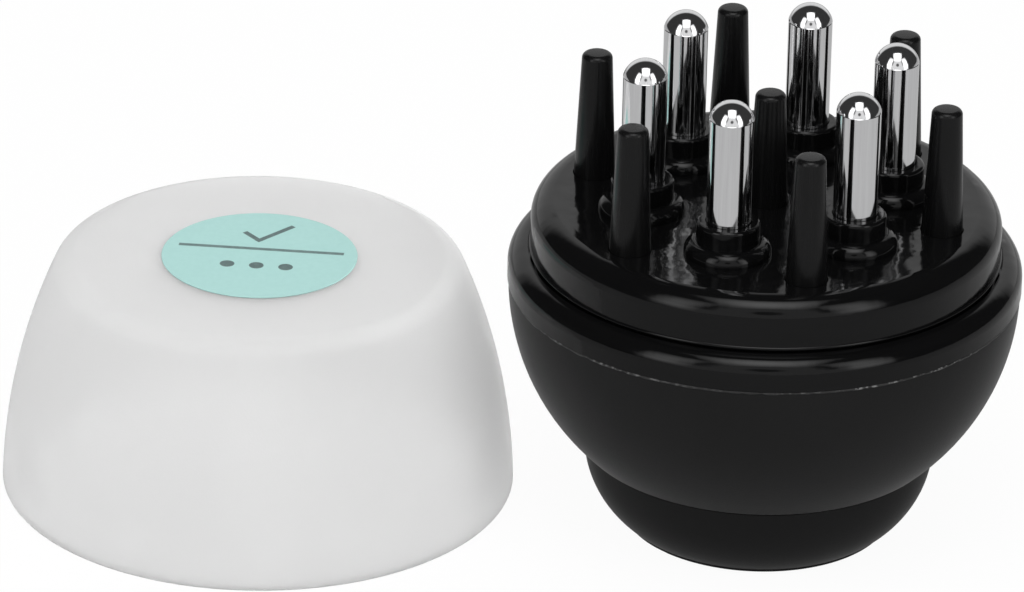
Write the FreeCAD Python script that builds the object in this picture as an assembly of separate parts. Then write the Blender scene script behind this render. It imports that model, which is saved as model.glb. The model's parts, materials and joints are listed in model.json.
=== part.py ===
import FreeCAD, Part
import math
import os

# A scalp applicator comb with its dust cap taken off and stood beside it. All lengths are in
# millimetres. The comb's axis is Z, the table is at zero height and the cap lies towards -X.

# Heights of the outside, from the table up
base_height = 11.2
bowl_height = 21.65
collar_height = 4.4
head_rise = 6.7

# Rings of the head, from the middle out
pin_circle = 16.1
tooth_step = 6.9
rim_margin = 6.75
plate_gap = 0.3
shoulder_width = 2.5
collar_overhang = 0.15

# Base cup, a screw-in foot
foot_radius = 17.2
foot_round = 0.5
base_radius = 22.3
base_bulge = 1.4
base_floor = 2.0
base_edge = 0.3
seam_gap = 0.3
spigot_wall = 1.6

# Screw thread between base cup and bowl
thread_pitch = 3.0
thread_turns = 1.25
thread_depth = 0.9
thread_root_width = 1.5
thread_crest_width = 0.8
thread_gap = 0.3
thread_end = 0.5

# Flat seal in the base cup's shoulder
seal_wall = 0.6
seal_width = 1.0
seal_land = 0.3
seal_thickness = 1.2

# Bowl, the grip and reservoir
bowl_step = 0.6
bowl_bulge = 2.45
bowl_wall = 2.0
bowl_floor = 3.0
bowl_edge = 0.3
neck_wall = 1.6
tongue_width = 2.1
bowl_rim_depth = 1.8

# Collar ring that clamps the head
collar_skirt = 1.55
collar_lip = 1.6
collar_round = 2.3
collar_chamfer = 0.25
clamp_gap = 0.1

# Head plate
plate_wall = 2.2
plate_thickness = 2.6
rim_round = 2.8
groove_depth = 0.5
groove_rise = 0.1
bead_rise = 0.15
bead_height = 0.5
flange_height = 1.3
gasket_thickness = 1.0
gasket_width = 1.9

# Pin guides, moulded in the head plate
guide_radius = 4.0
guide_rise = 4.3
guide_edge = 0.4
guide_step = 1.5
guide_step_rise = 1.75
guide_sink = 1.0
guide_gap = 0.1
seat_radius = 4.6
seat_drop = 2.9

# Metal pins, their valve washers and springs
pin_count = 6
pin_clock = 11.1
pin_radius = 2.8
pin_reach = 16.2
pin_dome = 2.2
pin_flange_radius = 4.2
pin_flange = 1.2
pin_seal_thickness = 0.8
pin_seal_gap = 0.02
stem_radius = 1.4
stem_end_gap = 1.0
spring_length = 6.0
spring_radius = 2.4
spring_wire = 0.5
spring_turns = 4
spring_gap = 0.1

# Valve plate under the head, with its screws
valve_thickness = 1.6
valve_gap = 0.5
stem_gap = 0.3
port_radius = 2.5
screw_count = 3
screw_circle = 8.6
screw_radius = 1.0
screw_length = 8.0
screw_gap = 0.05
screw_head_radius = 2.0
screw_head = 1.3
screw_slot = 0.6
screw_slot_depth = 0.7
boss_wall = 1.35

# Comb teeth, pushed into the head plate
tooth_base_radius = 2.65
tooth_tip_radius = 1.95
tooth_length = 17.1
centre_drop = 1.6
tooth_tip_round = 0.7
tooth_seat = 0.5
tooth_gap = 0.1
tooth_neck_radius = 1.7
tooth_neck_gap = 0.05
tooth_grip = 1.9
barb_radius = 2.4
barb_land = 0.5
barb_lead = 0.9
barb_tip_radius = 1.5
barb_room = 0.3

# Dust cap and its label
cap_overhang = 0.4
cap_taper = 7.4
cap_bulge = 1.65
cap_headroom = 2.35
cap_wall = 1.5
cap_round = 3.2
cap_edge = 0.4
cap_lip = 3.0
cap_lip_slope = 1.5
cap_fit = 0.2
cap_tuck = 0.85
cap_bearing = 173.1
label_radius = 12.5
label_thickness = 0.15

# How far cuts run past a face, how deep joined bodies sink together, and what counts as equal
overrun = 1.0
embed = 0.6
same = 0.001

quarter_share = math.sqrt(0.5)
full_turn = 360.0
origin = FreeCAD.Vector(0, 0, 0)
up = FreeCAD.Vector(0, 0, 1)

# Heights worked out from the stack
seam_z = base_height
base_top_z = seam_z - seam_gap
collar_z = seam_z + bowl_height
shoulder_z = collar_z + collar_height
rim_z = shoulder_z + head_rise
groove_top_z = shoulder_z + groove_rise
flange_top_z = shoulder_z - collar_lip
flange_z = flange_top_z - flange_height
tongue_z = flange_z - gasket_thickness
plate_under_z = rim_z - plate_thickness
tooth_seat_z = rim_z - tooth_seat
seat_z = plate_under_z - seat_drop
guide_top_z = rim_z + guide_rise
pin_top_z = guide_top_z + pin_reach
pin_flange_top_z = seat_z - pin_seal_thickness
pin_flange_z = pin_flange_top_z - pin_flange
valve_top_z = pin_flange_z - spring_length
stem_length = spring_length - stem_end_gap
valve_z = valve_top_z - valve_thickness
cap_height = pin_top_z - shoulder_z + cap_headroom + cap_wall

# Radii worked out from the rings
tooth_circle = pin_circle + tooth_step
plate_radius = tooth_circle + rim_margin
skirt_radius = plate_radius - plate_wall
lip_radius = plate_radius + plate_gap
collar_radius = lip_radius + shoulder_width
collar_bore = collar_radius - collar_skirt
flange_radius = collar_bore - clamp_gap
bowl_radius = collar_radius - collar_overhang
bowl_foot_radius = base_radius + bowl_step
seal_outer_radius = base_radius - seal_wall
seal_inner_radius = seal_outer_radius - seal_width
hole_radius = seal_inner_radius - seal_land
spigot_radius = hole_radius - thread_gap - thread_depth
cap_radius = collar_radius + cap_overhang

# The two thread ridges lie half a pitch apart
thread_rise = thread_pitch * thread_turns
bowl_thread_z = seam_z + thread_end + thread_root_width / 2
base_thread_z = bowl_thread_z + thread_pitch / 2
neck_top_z = bowl_thread_z + thread_rise + thread_root_width / 2 + thread_end
spigot_top_z = base_thread_z + thread_rise + thread_root_width / 2 + thread_end


class Outline:
    """A closed outline of radius and height, drawn point by point and turned about Z."""

    def __init__(self, r, z):
        self.first = (r, z)
        self.here = FreeCAD.Vector(r, 0, z)
        self.edges = []

    def line(self, r, z):
        """Draw a straight side to a point."""
        there = FreeCAD.Vector(r, 0, z)
        self.edges.append(Part.LineSegment(self.here, there).toShape())
        self.here = there
        return self

    def arc(self, through, to):
        """Draw an arc through one point to another, both given as radius and height."""
        middle = FreeCAD.Vector(through[0], 0, through[1])
        there = FreeCAD.Vector(to[0], 0, to[1])
        self.edges.append(Part.Arc(self.here, middle, there).toShape())
        self.here = there
        return self

    def quarter(self, corner, to):
        """Draw a quarter circle that takes off a square corner."""
        corner_point = FreeCAD.Vector(corner[0], 0, corner[1])
        centre = self.here + FreeCAD.Vector(to[0], 0, to[1]) - corner_point
        middle = centre + (corner_point - centre) * quarter_share
        return self.arc((middle.x, middle.z), to)

    def solid(self):
        """Close the outline and turn it into a solid of revolution."""
        self.line(*self.first)
        return Part.Face(Part.Wire(self.edges)).revolve(origin, up, full_turn)


class Bow:
    """The bowed side of a shell, an arc between two points of radius and height."""

    def __init__(self, low, high, bulge):
        along = FreeCAD.Vector(high[0] - low[0], 0, high[1] - low[1])
        out = FreeCAD.Vector(along.z, 0, -along.x).normalize()
        self.radius = (along.Length ** 2 / 4 + bulge ** 2) / (2 * bulge)
        crown = FreeCAD.Vector(low[0], 0, low[1]) + along / 2 + out * bulge
        self.centre = crown - out * self.radius
        self.crown = (crown.x, crown.z)

    def at(self, z, inset=0):
        """The point at a height on the side, or on its inner wall at an inset."""
        reach = (self.radius - inset) ** 2 - (z - self.centre.z) ** 2
        return (self.centre.x + math.sqrt(reach), z)


def cylinder(radius, low_z, high_z, x=0, y=0):
    """An upright cylinder between two heights."""
    return Part.makeCylinder(radius, high_z - low_z, FreeCAD.Vector(x, y, low_z))


def ring(inner, outer, low_z, high_z):
    """A flat ring about the comb's axis."""
    outline = Outline(inner, low_z).line(outer, low_z).line(outer, high_z).line(inner, high_z)
    return outline.solid()


def places(count, radius, clock):
    """Points spread evenly round a circle, from a clock angle in degrees."""
    angles = [math.radians(clock + full_turn * index / count) for index in range(count)]
    return [(radius * math.cos(angle), radius * math.sin(angle)) for angle in angles]


def moved(shape, x, y, z=0):
    """A copy of a shape at another place."""
    copy = shape.copy()
    copy.translate(FreeCAD.Vector(x, y, z))
    return copy


def round_rim(solid, rim_radius, rim_height, round_radius):
    """Round the circular edge that lies at a radius and height."""
    edges = []
    for edge in solid.Edges:
        if not isinstance(edge.Curve, Part.Circle):
            continue
        off_radius = abs(edge.Curve.Radius - rim_radius)
        off_height = abs(edge.Curve.Center.z - rim_height)
        if max(off_radius, off_height) < same:
            edges.append(edge)
    return solid.makeFillet(round_radius, edges)


def thread_ridge(wall_radius, crest_radius, start_z):
    """One helical ridge, from inside the wall that carries it out to its crest."""
    inward = math.copysign(embed, wall_radius - crest_radius)
    root_radius = wall_radius + inward
    path = Part.makeHelix(thread_pitch, thread_rise, crest_radius)
    corners = [
        FreeCAD.Vector(root_radius, 0, -thread_root_width / 2),
        FreeCAD.Vector(crest_radius, 0, -thread_crest_width / 2),
        FreeCAD.Vector(crest_radius, 0, thread_crest_width / 2),
        FreeCAD.Vector(root_radius, 0, thread_root_width / 2),
    ]
    section = Part.makePolygon(corners + corners[:1])
    sweep = Part.BRepOffsetAPI.MakePipeShell(path)
    sweep.setBiNormalMode(up)
    sweep.add(section)
    sweep.build()
    sweep.makeSolid()
    return moved(sweep.shape(), 0, 0, start_z)


def make_base_cup():
    """The foot: a thick cup with a threaded spigot that screws up into the bowl."""
    side = Bow((foot_radius, foot_round), (base_radius, base_top_z), base_bulge)
    groove_z = seam_z - seal_thickness
    bore_radius = spigot_radius - spigot_wall
    outline = Outline(0, 0).line(foot_radius - foot_round, 0)
    outline.quarter((foot_radius, 0), (foot_radius, foot_round))
    outline.arc(side.crown, (base_radius, base_top_z))
    outline.line(seal_outer_radius, base_top_z).line(seal_outer_radius, groove_z)
    outline.line(seal_inner_radius, groove_z).line(seal_inner_radius, base_top_z)
    outline.line(spigot_radius, base_top_z).line(spigot_radius, spigot_top_z)
    outline.line(bore_radius, spigot_top_z).line(bore_radius, base_floor).line(0, base_floor)
    cup = round_rim(outline.solid(), base_radius, base_top_z, base_edge)
    return cup.fuse(thread_ridge(spigot_radius, spigot_radius + thread_depth, base_thread_z))


def make_base_seal():
    """The flat ring squeezed between the base cup's groove and the bowl's underside."""
    return ring(seal_inner_radius, seal_outer_radius, seam_z - seal_thickness, seam_z)


def make_bowl():
    """The grip and reservoir, with a threaded neck below and a tongue that takes the head."""
    side = Bow((bowl_foot_radius, seam_z), (bowl_radius, collar_z), bowl_bulge)
    floor_z = seam_z + bowl_floor
    neck_radius = hole_radius + neck_wall
    tongue_outer = flange_radius
    tongue_inner = tongue_outer - tongue_width
    rim_under_z = collar_z - bowl_rim_depth
    slope_z = rim_under_z - bowl_rim_depth
    wall_foot = side.at(floor_z, bowl_wall)
    wall_top = side.at(slope_z, bowl_wall)
    wall_middle = side.at((floor_z + slope_z) / 2, bowl_wall)
    outline = Outline(hole_radius, seam_z).line(bowl_foot_radius, seam_z)
    outline.arc(side.crown, (bowl_radius, collar_z))
    outline.line(tongue_outer, collar_z).line(tongue_outer, tongue_z)
    outline.line(tongue_inner, tongue_z).line(tongue_inner, rim_under_z)
    outline.line(*wall_top).arc(wall_middle, wall_foot)
    outline.line(neck_radius, floor_z).line(neck_radius, neck_top_z)
    outline.line(hole_radius, neck_top_z)
    bowl = round_rim(outline.solid(), bowl_foot_radius, seam_z, bowl_edge)
    return bowl.fuse(thread_ridge(hole_radius, hole_radius - thread_depth, bowl_thread_z))


def make_collar_ring():
    """The gloss ring over the bowl's edge, whose lip holds down the head plate's flange."""
    outline = Outline(collar_bore, collar_z).line(collar_radius - collar_chamfer, collar_z)
    outline.line(collar_radius, collar_z + collar_chamfer)
    outline.line(collar_radius, shoulder_z - collar_round)
    outline.quarter((collar_radius, shoulder_z), (collar_radius - collar_round, shoulder_z))
    outline.line(lip_radius, shoulder_z).line(lip_radius, flange_top_z)
    outline.line(collar_bore, flange_top_z)
    return outline.solid()


def make_pin_guide():
    """One pin guide: a stub on a rounded step above the plate and a valve seat below it."""
    foot_z = rim_z - guide_sink
    step_z = rim_z + guide_step_rise
    step_radius = guide_radius + guide_step
    outline = Outline(0, seat_z).line(seat_radius, seat_z).line(seat_radius, foot_z)
    outline.line(step_radius, foot_z).line(step_radius, step_z - guide_step)
    outline.quarter((step_radius, step_z), (guide_radius, step_z))
    outline.line(guide_radius, guide_top_z - guide_edge)
    outline.quarter((guide_radius, guide_top_z), (guide_radius - guide_edge, guide_top_z))
    return outline.line(0, guide_top_z).solid()


def make_plate_shell():
    """The plate with its skirt, shadow groove, snap bead and flange, before guides and holes."""
    bead_top_z = groove_top_z + bead_height
    bead_crown = (plate_radius + bead_rise, (groove_top_z + bead_top_z) / 2)
    outline = Outline(0, plate_under_z).line(skirt_radius, plate_under_z)
    outline.line(skirt_radius, flange_z).line(flange_radius, flange_z)
    outline.line(flange_radius, flange_top_z).line(plate_radius - groove_depth, flange_top_z)
    outline.line(plate_radius - groove_depth, groove_top_z).line(plate_radius, groove_top_z)
    outline.arc(bead_crown, (plate_radius, bead_top_z)).line(plate_radius, rim_z - rim_round)
    outline.quarter((plate_radius, rim_z), (plate_radius - rim_round, rim_z))
    return outline.line(0, rim_z).solid()


def tooth_places():
    """The teeth round the pins, in order, and the one in the middle last."""
    half_step = full_turn / pin_count / 2
    return places(pin_count, tooth_circle, pin_clock - half_step) + [(0, 0)]


def screw_places():
    """The valve screws stand between the middle and the pins, in line with the gaps."""
    return places(screw_count, screw_circle, pin_clock - full_turn / pin_count / 2)


def tooth_socket():
    """The cut for one tooth: a seat above, a hole for its neck and room for its barb below."""
    low_z = plate_under_z - overrun
    seat = cylinder(tooth_base_radius + tooth_gap, tooth_seat_z, rim_z + overrun)
    hole = cylinder(tooth_neck_radius + tooth_neck_gap, low_z, tooth_seat_z + overrun)
    room = cylinder(barb_radius + barb_room, low_z, tooth_seat_z - tooth_grip)
    return seat.fuse([hole, room])


def make_head_plate():
    """The gloss head plate with pin guides, tooth sockets and screw bosses."""
    guide = make_pin_guide()
    socket = tooth_socket()
    bore = cylinder(pin_radius + guide_gap, seat_z - overrun, guide_top_z + overrun)
    boss = cylinder(screw_radius + boss_wall, valve_top_z, plate_under_z + embed)
    pilot_top_z = valve_z + screw_length + overrun
    pilot = cylinder(screw_radius + screw_gap, valve_top_z - overrun, pilot_top_z)
    pins = places(pin_count, pin_circle, pin_clock)
    added = [moved(guide, x, y) for x, y in pins]
    added += [moved(boss, x, y) for x, y in screw_places()]
    cuts = [moved(bore, x, y) for x, y in pins]
    cuts += [moved(pilot, x, y) for x, y in screw_places()]
    cuts += [moved(socket, x, y) for x, y in tooth_places()]
    return make_plate_shell().fuse(added).cut(cuts)


def make_head_gasket():
    """The ring between the bowl's tongue and the head plate's flange."""
    return ring(flange_radius - gasket_width, flange_radius, tongue_z, flange_z)


def make_tooth(length):
    """One tooth with its seat at zero height: tapered above, a neck and a barb below."""
    side_z = length - tooth_tip_round
    crown_radius = tooth_tip_radius - tooth_tip_round
    barb_top_z = -tooth_grip
    barb_side_z = barb_top_z - barb_land
    barb_end_z = barb_side_z - barb_lead
    outline = Outline(0, barb_end_z).line(barb_tip_radius, barb_end_z)
    outline.line(barb_radius, barb_side_z).line(barb_radius, barb_top_z)
    outline.line(tooth_neck_radius, barb_top_z).line(tooth_neck_radius, 0)
    outline.line(tooth_base_radius, 0).line(tooth_tip_radius, side_z)
    outline.quarter((tooth_tip_radius, length), (crown_radius, length))
    return outline.line(0, length).solid()


def make_teeth():
    """All teeth at their seats, by name."""
    tooth = make_tooth(tooth_length)
    *around, centre = tooth_places()
    teeth = {"centre_tooth": moved(make_tooth(tooth_length - centre_drop), *centre, tooth_seat_z)}
    for index, (x, y) in enumerate(around):
        teeth["comb_tooth_%d" % (index + 1)] = moved(tooth, x, y, tooth_seat_z)
    return teeth


def make_metal_pin():
    """One pin about the comb's axis: domed shaft, valve flange and spring stem."""
    dome_z = pin_top_z - pin_dome
    sphere = (pin_radius ** 2 + pin_dome ** 2) / (2 * pin_dome)
    cheek_radius = pin_radius * quarter_share
    cheek_z = pin_top_z - sphere + math.sqrt(sphere ** 2 - cheek_radius ** 2)
    stem_z = pin_flange_z - stem_length
    outline = Outline(0, stem_z).line(stem_radius, stem_z).line(stem_radius, pin_flange_z)
    outline.line(pin_flange_radius, pin_flange_z).line(pin_flange_radius, pin_flange_top_z)
    outline.line(pin_radius, pin_flange_top_z).line(pin_radius, dome_z)
    return outline.arc((cheek_radius, cheek_z), (0, pin_top_z)).solid()


def make_pin_seal():
    """One valve washer, between the pin's flange and the seat under its guide."""
    return ring(pin_radius + pin_seal_gap, pin_flange_radius, pin_flange_top_z, seat_z)


def arc_between(start, way, end):
    """The middle point of the arc that leaves a point along a way and reaches another."""
    chord = end - start
    length = chord.Length
    chord.normalize()
    off = way - chord * way.dot(chord)
    sagitta = length / 2 * math.tan(way.getAngle(chord) / 2)
    return (start + end) / 2 + off.normalize() * sagitta


def biarc(start, start_way, end, end_way):
    """Two tangent arcs from one point and way to another."""
    span = end - start
    turn = 2 * (1 - start_way.dot(end_way))
    lean = span.dot(start_way + end_way)
    reach = (math.sqrt(lean ** 2 + turn * span.dot(span)) - lean) / turn
    meet = (start + start_way * reach + end - end_way * reach) / 2
    first = Part.Arc(start, arc_between(start, start_way, meet), meet).toShape()
    second = Part.Arc(meet, arc_between(end, end_way * -1, meet), end).toShape()
    return [first, second]


def make_pin_spring():
    """One return spring about the comb's axis, a coil of quarter turn arcs."""
    quarters = spring_turns * 4
    low_z = valve_top_z + spring_gap + spring_wire / 2
    rise = spring_length - spring_gap * 2 - spring_wire
    climb = rise / (spring_turns * 2 * math.pi)
    points = []
    ways = []
    for index in range(quarters + 1):
        angle = index * math.pi / 2
        out = FreeCAD.Vector(math.cos(angle), math.sin(angle), 0)
        side = FreeCAD.Vector(-math.sin(angle), math.cos(angle), 0)
        points.append(out * spring_radius + up * (low_z + climb * angle))
        ways.append((side * spring_radius + up * climb).normalize())
    edges = []
    for index in range(quarters):
        edges += biarc(points[index], ways[index], points[index + 1], ways[index + 1])
    wire = Part.Wire(edges)
    section = Part.Wire(Part.Circle(points[0], ways[0], spring_wire / 2).toShape())
    sweep = Part.BRepOffsetAPI.MakePipeShell(wire)
    sweep.add(section)
    sweep.build()
    sweep.makeSolid()
    turn_gaps = [(points[index + 4] - points[index]).Length for index in range(quarters - 3)]
    print("least gap between spring turns", round(min(turn_gaps) - spring_wire, 2))
    return sweep.shape()


def make_valve_plate():
    """The plate that carries the springs, with stem holes, liquid ports and screw holes."""
    plate = cylinder(skirt_radius - valve_gap, valve_z, valve_top_z)
    low_z = valve_z - overrun
    high_z = valve_top_z + overrun
    half_step = full_turn / pin_count / 2
    stems = places(pin_count, pin_circle, pin_clock)
    ports = places(pin_count, pin_circle, pin_clock + half_step)
    holes = [cylinder(stem_radius + stem_gap, low_z, high_z, x, y) for x, y in stems]
    holes += [cylinder(port_radius, low_z, high_z, x, y) for x, y in ports]
    holes += [cylinder(screw_radius + screw_gap, low_z, high_z, x, y) for x, y in screw_places()]
    return plate.cut(holes)


def make_valve_screws():
    """The slotted screws that hold the valve plate, as one group."""
    head_z = valve_z - screw_head
    shank = cylinder(screw_radius, valve_z - embed, valve_z + screw_length)
    screw = cylinder(screw_head_radius, head_z, valve_z).fuse(shank)
    slot_length = screw_head_radius * 2 + overrun * 2
    corner = FreeCAD.Vector(-slot_length / 2, -screw_slot / 2, head_z - overrun)
    slot = Part.makeBox(slot_length, screw_slot, screw_slot_depth + overrun, corner)
    screw = screw.cut(slot)
    return Part.makeCompound([moved(screw, x, y) for x, y in screw_places()])


def make_cap_shell():
    """The frosted cover about its own axis: bowed side, flat top and a thick gripping lip."""
    top_radius = cap_radius - cap_taper
    side = Bow((cap_radius, 0), (top_radius, cap_height), cap_bulge)
    ceiling_z = cap_height - cap_wall
    bore = plate_radius + cap_fit
    slope_z = cap_lip + cap_lip_slope
    wall_top = side.at(ceiling_z, cap_wall)
    wall_foot = side.at(slope_z, cap_wall)
    wall_middle = side.at((ceiling_z + slope_z) / 2, cap_wall)
    outline = Outline(bore, 0).line(cap_radius, 0).arc(side.crown, (top_radius, cap_height))
    outline.line(0, cap_height).line(0, ceiling_z).line(*wall_top)
    outline.arc(wall_middle, wall_foot).line(bore, cap_lip)
    shell = round_rim(outline.solid(), top_radius, cap_height, cap_round)
    shell = round_rim(shell, wall_top[0], ceiling_z, cap_round - cap_wall)
    shell = round_rim(shell, cap_radius, 0, cap_edge)
    return round_rim(shell, bore, 0, cap_edge)


def place_by_comb(shape):
    """Stand a piece of the cap beside the comb, its foot tucked in under the collar's edge."""
    distance = collar_radius + cap_radius - cap_tuck
    bearing = math.radians(cap_bearing)
    return moved(shape, distance * math.cos(bearing), distance * math.sin(bearing))


def make_sprung_pins():
    """Each pin with its washer and spring, by name."""
    kinds = {
        "metal_pin": make_metal_pin(),
        "pin_seal": make_pin_seal(),
        "pin_spring": make_pin_spring(),
    }
    pieces = {}
    for index, (x, y) in enumerate(places(pin_count, pin_circle, pin_clock)):
        for kind, shape in kinds.items():
            pieces["%s_%d" % (kind, index + 1)] = moved(shape, x, y)
    return pieces


def main():
    """Build every piece and write one file for each."""
    label = cylinder(label_radius, cap_height, cap_height + label_thickness)
    pieces = {
        "base_cup": make_base_cup(),
        "base_seal": make_base_seal(),
        "bowl": make_bowl(),
        "collar_ring": make_collar_ring(),
        "head_plate": make_head_plate(),
        "head_gasket": make_head_gasket(),
        "valve_plate": make_valve_plate(),
        "valve_screws": make_valve_screws(),
        "dust_cap": place_by_comb(make_cap_shell()),
        "cap_label": place_by_comb(label),
    }
    pieces.update(make_teeth())
    pieces.update(make_sprung_pins())
    os.makedirs("parts", exist_ok=True)
    for name, shape in pieces.items():
        shape.exportStep("parts/" + name + ".step")
        print(name, shape.isValid(), len(shape.Solids), round(shape.Volume, 2))


main()
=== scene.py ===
"""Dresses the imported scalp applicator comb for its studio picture.

The comb stands on a pale table, and its frosted dust cap lies beside it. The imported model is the
frame: the shells that are right as they are keep their mesh and get a finish, and the pieces whose
finer shape shows up close (teeth, pins, springs, cap, label and the seam's flash line) are
modelled here at the places that the frame gives. All lengths are in metres.
"""

import json
import logging
import math
from dataclasses import dataclass, field
from enum import Enum
from typing import Any, Optional, Sequence, Union

import bpy
from mathutils import Matrix, Vector

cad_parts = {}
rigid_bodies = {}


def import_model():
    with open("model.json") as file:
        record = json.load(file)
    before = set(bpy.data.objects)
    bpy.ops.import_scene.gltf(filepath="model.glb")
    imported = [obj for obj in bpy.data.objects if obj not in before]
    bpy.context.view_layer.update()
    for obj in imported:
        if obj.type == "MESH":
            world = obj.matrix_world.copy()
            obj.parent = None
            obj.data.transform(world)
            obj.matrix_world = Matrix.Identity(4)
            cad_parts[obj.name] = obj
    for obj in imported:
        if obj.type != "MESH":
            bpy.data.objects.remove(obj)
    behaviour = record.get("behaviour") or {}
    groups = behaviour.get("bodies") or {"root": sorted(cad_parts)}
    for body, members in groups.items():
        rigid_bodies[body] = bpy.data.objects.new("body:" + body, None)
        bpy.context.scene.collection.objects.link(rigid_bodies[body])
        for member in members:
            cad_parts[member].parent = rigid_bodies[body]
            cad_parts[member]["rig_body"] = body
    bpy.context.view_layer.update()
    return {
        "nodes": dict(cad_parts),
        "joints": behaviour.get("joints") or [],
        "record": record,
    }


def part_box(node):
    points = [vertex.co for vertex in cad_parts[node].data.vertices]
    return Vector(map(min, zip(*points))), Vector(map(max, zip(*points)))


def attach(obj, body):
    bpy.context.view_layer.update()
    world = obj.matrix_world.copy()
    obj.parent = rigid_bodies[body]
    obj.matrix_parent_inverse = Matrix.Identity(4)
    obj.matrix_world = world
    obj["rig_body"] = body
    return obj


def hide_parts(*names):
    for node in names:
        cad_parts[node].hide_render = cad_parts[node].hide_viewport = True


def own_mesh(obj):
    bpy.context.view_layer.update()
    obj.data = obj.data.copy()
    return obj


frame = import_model()
LOG = logging.getLogger("applicator_comb")

MM = 0.001
FULL_TURN = 2 * math.pi
QUARTER_TURN = math.pi / 2
SAME_PLACE = 1e-7
EDGE_SEGMENTS = 3
CAP_NAME = "dust_cap_frosted"
LABEL_NAME = "cap_label_printed"
CAP_MIDDLE = (-64.0 * MM, 8.0 * MM, 20.0 * MM)

Colour = tuple[float, float, float]
Point = tuple[float, float]
Span = tuple[float, float]
Sockets = dict[Union[str, int], Any]


class Ray(Enum):
    """Kinds of ray that see the plain studio behind the object."""

    CAMERA = "Is Camera Ray"
    GLOSSY = "Is Glossy Ray"
    THROUGH = "Is Transmission Ray"


class Stretch(Enum):
    """Ways that a grain can be drawn out over a piece, as scales along X, Y and Z."""

    EVEN = (1.0, 1.0, 1.0)
    UPRIGHT = (1.0, 1.0, 0.03)
    LEVEL = (0.05, 0.05, 1.0)


class Wire:
    """A shader socket that takes part in Python sums, each of which adds one Math node."""

    def __init__(self, sheet: "NodeSheet", socket: bpy.types.NodeSocket) -> None:
        """Holds a socket of a sheet's node tree."""
        self.sheet = sheet
        self.socket = socket

    def __add__(self, other: "Value") -> "Wire":
        """The sum."""
        return self.sheet.sum_of("ADD", self, other)

    def __radd__(self, other: "Value") -> "Wire":
        """The sum, from the right."""
        return self.sheet.sum_of("ADD", other, self)

    def __sub__(self, other: "Value") -> "Wire":
        """The difference."""
        return self.sheet.sum_of("SUBTRACT", self, other)

    def __rsub__(self, other: "Value") -> "Wire":
        """The difference, from the right."""
        return self.sheet.sum_of("SUBTRACT", other, self)

    def __mul__(self, other: "Value") -> "Wire":
        """The product."""
        return self.sheet.sum_of("MULTIPLY", self, other)

    def __rmul__(self, other: "Value") -> "Wire":
        """The product, from the right."""
        return self.sheet.sum_of("MULTIPLY", other, self)

    def __truediv__(self, other: "Value") -> "Wire":
        """The quotient."""
        return self.sheet.sum_of("DIVIDE", self, other)

    def __rtruediv__(self, other: "Value") -> "Wire":
        """The quotient, from the right."""
        return self.sheet.sum_of("DIVIDE", other, self)

    def __lt__(self, other: "Value") -> "Wire":
        """One where this is the smaller, else zero."""
        return self.sheet.sum_of("LESS_THAN", self, other)

    def __gt__(self, other: "Value") -> "Wire":
        """One where this is the larger, else zero."""
        return self.sheet.sum_of("GREATER_THAN", self, other)

    def __or__(self, other: "Value") -> "Wire":
        """The larger of two masks."""
        return self.sheet.sum_of("MAXIMUM", self, other)

    def __abs__(self) -> "Wire":
        """The size without its sign."""
        return self.sheet.sum_of("ABSOLUTE", self)

    def __pow__(self, other: "Value") -> "Wire":
        """The power."""
        return self.sheet.sum_of("POWER", self, other)


Value = Union[Wire, float, int]


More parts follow.
